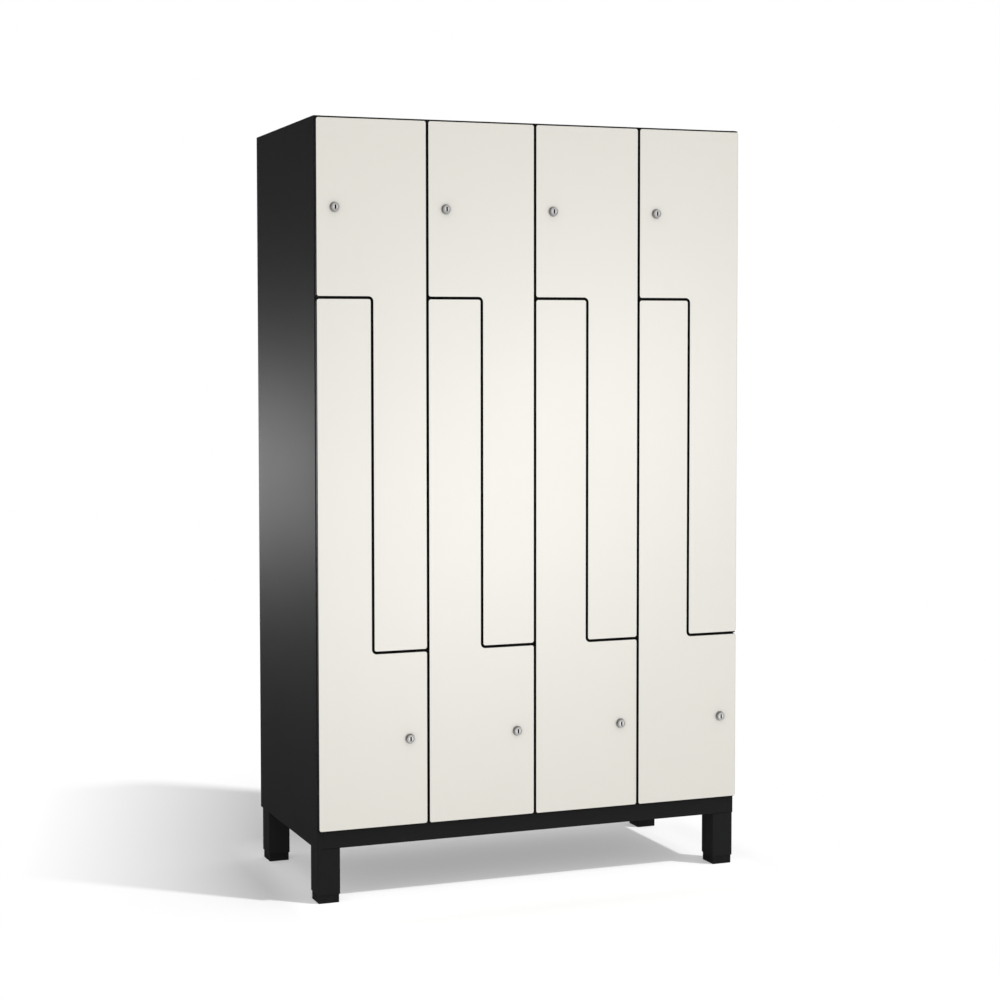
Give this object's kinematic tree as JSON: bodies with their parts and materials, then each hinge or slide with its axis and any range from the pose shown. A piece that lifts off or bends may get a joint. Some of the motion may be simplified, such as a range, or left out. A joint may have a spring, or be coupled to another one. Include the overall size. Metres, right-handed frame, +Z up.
{
  "type": "z locker",
  "caption": "Tall steel locker on square feet, closed by interlocking L-shaped laminate doors with cam locks.",
  "frame": {"origin": "on the floor, under the middle of the whole object's box, lock heads included", "axes": "+X to the right as seen from the front, +Y from the doors to the back, +Z up"},
  "size_m": [1.2, 0.5228, 1.995],
  "materials": {
    "carcass_paint": "black powder coat, satin, finely pebbled",
    "door_laminate": "off-white compact laminate with a black core at its edges",
    "lock_nickel": "satin nickel plate",
    "lock_steel": "bright zinc-plated steel",
    "glide_plastic": "black moulded plastic"
  },
  "bodies": {
    "carcass": {"side_panel_left": "carcass_paint", "side_panel_right": "carcass_paint", "back_panel": "carcass_paint", "top_panel": "carcass_paint", "base_tray": "carcass_paint", "partition_1": "carcass_paint", "partition_2": "carcass_paint", "partition_3": "carcass_paint", "front_post_1": "carcass_paint", "front_post_2": "carcass_paint", "front_post_3": "carcass_paint", "front_post_4": "carcass_paint", "front_post_5": "carcass_paint", "z_divider_1": "carcass_paint", "z_divider_2": "carcass_paint", "z_divider_3": "carcass_paint", "z_divider_4": "carcass_paint", "top_pivot_rail": "carcass_paint", "bottom_pivot_rail": "carcass_paint", "upper_step_pivot_1": "carcass_paint", "lower_step_pivot_1": "carcass_paint", "upper_step_pivot_2": "carcass_paint", "lower_step_pivot_2": "carcass_paint", "upper_step_pivot_3": "carcass_paint", "lower_step_pivot_3": "carcass_paint", "upper_step_pivot_4": "carcass_paint", "lower_step_pivot_4": "carcass_paint", "foot_front_left": "carcass_paint", "foot_front_right": "carcass_paint", "foot_rear_left": "carcass_paint", "foot_rear_right": "carcass_paint"},
    "upper_door_1": {"upper_door_1": "door_laminate", "upper_lock_1": "lock_nickel"},
    "upper_cam_1": {"upper_cam_1": "lock_steel"},
    "lower_door_1": {"lower_door_1": "door_laminate", "lower_lock_1": "lock_nickel"},
    "lower_cam_1": {"lower_cam_1": "lock_steel"},
    "upper_door_2": {"upper_door_2": "door_laminate", "upper_lock_2": "lock_nickel"},
    "upper_cam_2": {"upper_cam_2": "lock_steel"},
    "lower_door_2": {"lower_door_2": "door_laminate", "lower_lock_2": "lock_nickel"},
    "lower_cam_2": {"lower_cam_2": "lock_steel"},
    "upper_door_3": {"upper_door_3": "door_laminate", "upper_lock_3": "lock_nickel"},
    "upper_cam_3": {"upper_cam_3": "lock_steel"},
    "lower_door_3": {"lower_door_3": "door_laminate", "lower_lock_3": "lock_nickel"},
    "lower_cam_3": {"lower_cam_3": "lock_steel"},
    "upper_door_4": {"upper_door_4": "door_laminate", "upper_lock_4": "lock_nickel"},
    "upper_cam_4": {"upper_cam_4": "lock_steel"},
    "lower_door_4": {"lower_door_4": "door_laminate", "lower_lock_4": "lock_nickel"},
    "lower_cam_4": {"lower_cam_4": "lock_steel"},
    "glide_front_left": {"glide_front_left": "glide_plastic"},
    "glide_front_right": {"glide_front_right": "glide_plastic"},
    "glide_rear_left": {"glide_rear_left": "glide_plastic"},
    "glide_rear_right": {"glide_rear_right": "glide_plastic"}
  },
  "joints": [
    {"name": "upper_door_1_hinge", "type": "hinge", "parent": "carcass", "child": "upper_door_1", "pos_m": [-0.30943, -0.24685, 0.6404], "axis": [0, 0, 1], "range_deg": [0, 90]},
    {"name": "upper_cam_1_turn", "type": "hinge", "parent": "upper_door_1", "child": "upper_cam_1", "pos_m": [-0.5501, -0.25185, 1.7668], "axis": [0, 1, 0], "range_deg": [0, 90]},
    {"name": "lower_door_1_hinge", "type": "hinge", "parent": "carcass", "child": "lower_door_1", "pos_m": [-0.5926, -0.24685, 0.1885], "axis": [0, 0, -1], "range_deg": [0, 90]},
    {"name": "lower_cam_1_turn", "type": "hinge", "parent": "lower_door_1", "child": "lower_cam_1", "pos_m": [-0.35192, -0.25185, 0.4117], "axis": [0, -1, 0], "range_deg": [0, 90]},
    {"name": "upper_door_2_hinge", "type": "hinge", "parent": "carcass", "child": "upper_door_2", "pos_m": [-0.00875, -0.24685, 0.6404], "axis": [0, 0, 1], "range_deg": [0, 90]},
    {"name": "upper_cam_2_turn", "type": "hinge", "parent": "upper_door_2", "child": "upper_cam_2", "pos_m": [-0.24943, -0.25185, 1.7668], "axis": [0, 1, 0], "range_deg": [0, 90]},
    {"name": "lower_door_2_hinge", "type": "hinge", "parent": "carcass", "child": "lower_door_2", "pos_m": [-0.29192, -0.24685, 0.1885], "axis": [0, 0, -1], "range_deg": [0, 90]},
    {"name": "lower_cam_2_turn", "type": "hinge", "parent": "lower_door_2", "child": "lower_cam_2", "pos_m": [-0.05125, -0.25185, 0.4117], "axis": [0, -1, 0], "range_deg": [0, 90]},
    {"name": "upper_door_3_hinge", "type": "hinge", "parent": "carcass", "child": "upper_door_3", "pos_m": [0.29192, -0.24685, 0.6404], "axis": [0, 0, 1], "range_deg": [0, 90]},
    {"name": "upper_cam_3_turn", "type": "hinge", "parent": "upper_door_3", "child": "upper_cam_3", "pos_m": [0.05125, -0.25185, 1.7668], "axis": [0, 1, 0], "range_deg": [0, 90]},
    {"name": "lower_door_3_hinge", "type": "hinge", "parent": "carcass", "child": "lower_door_3", "pos_m": [0.00875, -0.24685, 0.1885], "axis": [0, 0, -1], "range_deg": [0, 90]},
    {"name": "lower_cam_3_turn", "type": "hinge", "parent": "lower_door_3", "child": "lower_cam_3", "pos_m": [0.24943, -0.25185, 0.4117], "axis": [0, -1, 0], "range_deg": [0, 90]},
    {"name": "upper_door_4_hinge", "type": "hinge", "parent": "carcass", "child": "upper_door_4", "pos_m": [0.5926, -0.24685, 0.6404], "axis": [0, 0, 1], "range_deg": [0, 90]},
    {"name": "upper_cam_4_turn", "type": "hinge", "parent": "upper_door_4", "child": "upper_cam_4", "pos_m": [0.35192, -0.25185, 1.7668], "axis": [0, 1, 0], "range_deg": [0, 90]},
    {"name": "lower_door_4_hinge", "type": "hinge", "parent": "carcass", "child": "lower_door_4", "pos_m": [0.30943, -0.24685, 0.1885], "axis": [0, 0, -1], "range_deg": [0, 90]},
    {"name": "lower_cam_4_turn", "type": "hinge", "parent": "lower_door_4", "child": "lower_cam_4", "pos_m": [0.5501, -0.25185, 0.4117], "axis": [0, -1, 0], "range_deg": [0, 90]},
    {"name": "glide_front_left_level", "type": "slide", "parent": "carcass", "child": "glide_front_left", "axis": [0, 0, -1], "range_m": [0, 0.02]},
    {"name": "glide_front_right_level", "type": "slide", "parent": "carcass", "child": "glide_front_right", "axis": [0, 0, -1], "range_m": [0, 0.02]},
    {"name": "glide_rear_left_level", "type": "slide", "parent": "carcass", "child": "glide_rear_left", "axis": [0, 0, -1], "range_m": [0, 0.02]},
    {"name": "glide_rear_right_level", "type": "slide", "parent": "carcass", "child": "glide_rear_right", "axis": [0, 0, -1], "range_m": [0, 0.02]}
  ]
}
